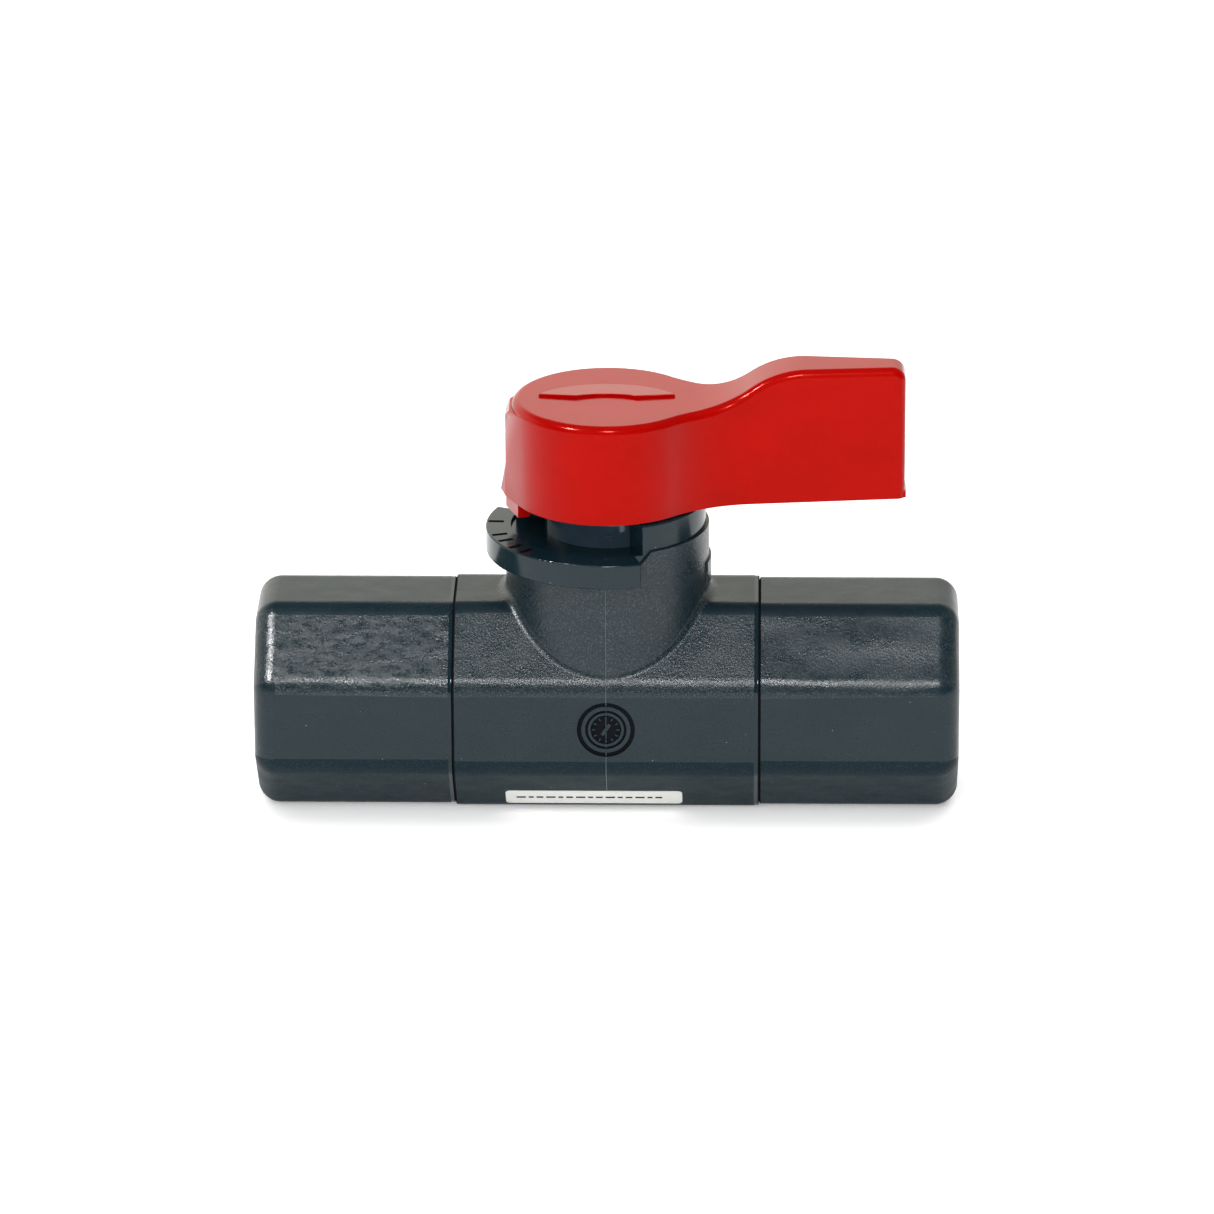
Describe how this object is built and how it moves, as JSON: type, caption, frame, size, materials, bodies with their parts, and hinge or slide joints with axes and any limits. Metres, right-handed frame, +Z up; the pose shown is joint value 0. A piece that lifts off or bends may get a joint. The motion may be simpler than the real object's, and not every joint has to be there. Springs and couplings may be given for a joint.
{
  "type": "ball valve",
  "caption": "Inline plastic ball valve: octagonal body, solvent-cement pipe sockets at both ends, round neck with a ticked dial plate, and a red quarter-turn lever.",
  "frame": {"origin": "middle of the body's bottom flat, straight below the ball's centre and on the stem's axis", "axes": "+X along the pipe, towards the lever's tail when the valve is open; +Z up along the stem, away from the bottom flat"},
  "size_m": [0.112, 0.0367, 0.073],
  "materials": {
    "body_plastic": "fine spark-eroded grain, moulded dark slate plastic",
    "socket_plastic": "fine spark-eroded grain with polished flats, dark slate plastic",
    "dial_plastic": "polished moulded dark slate plastic",
    "gland_plastic": "polished dark plastic",
    "lever_plastic": "satin red moulded plastic",
    "ball_plastic": "polished grey plastic",
    "stem_plastic": "turned dark slate plastic",
    "seat_plastic": "waxy white plastic",
    "seal_rubber": "moulded black rubber",
    "label_film": "silvery adhesive film, blank"
  },
  "bodies": {
    "housing": {"valve_body": "body_plastic", "end_socket_left": "socket_plastic", "end_socket_right": "socket_plastic", "dial_ring": "dial_plastic", "gland_bush": "gland_plastic", "stem_thrust_ring": "seat_plastic", "ball_seat_left": "seat_plastic", "ball_seat_right": "seat_plastic", "seat_cushion_left": "seal_rubber", "seat_cushion_right": "seal_rubber", "end_seal_left": "seal_rubber", "end_seal_right": "seal_rubber", "origin_label": "label_film"},
    "lever": {"handle": "lever_plastic", "stem": "stem_plastic", "stem_seal_lower": "seal_rubber", "stem_seal_upper": "seal_rubber"},
    "valve_ball": {"ball": "ball_plastic"}
  },
  "joints": [
    {"name": "lever_turn", "type": "hinge", "parent": "housing", "child": "lever", "pos_m": [0, 0, 0.0174], "axis": [0, 0, 1], "range_deg": [0, 90]},
    {"name": "ball_turn", "type": "hinge", "parent": "housing", "child": "valve_ball", "pos_m": [0, 0, 0.0174], "axis": [0, 0, 1], "range_deg": [0, 90]}
  ],
  "couplings": [
    {"joint": "ball_turn", "follows": "lever_turn", "ratio": 1}
  ]
}
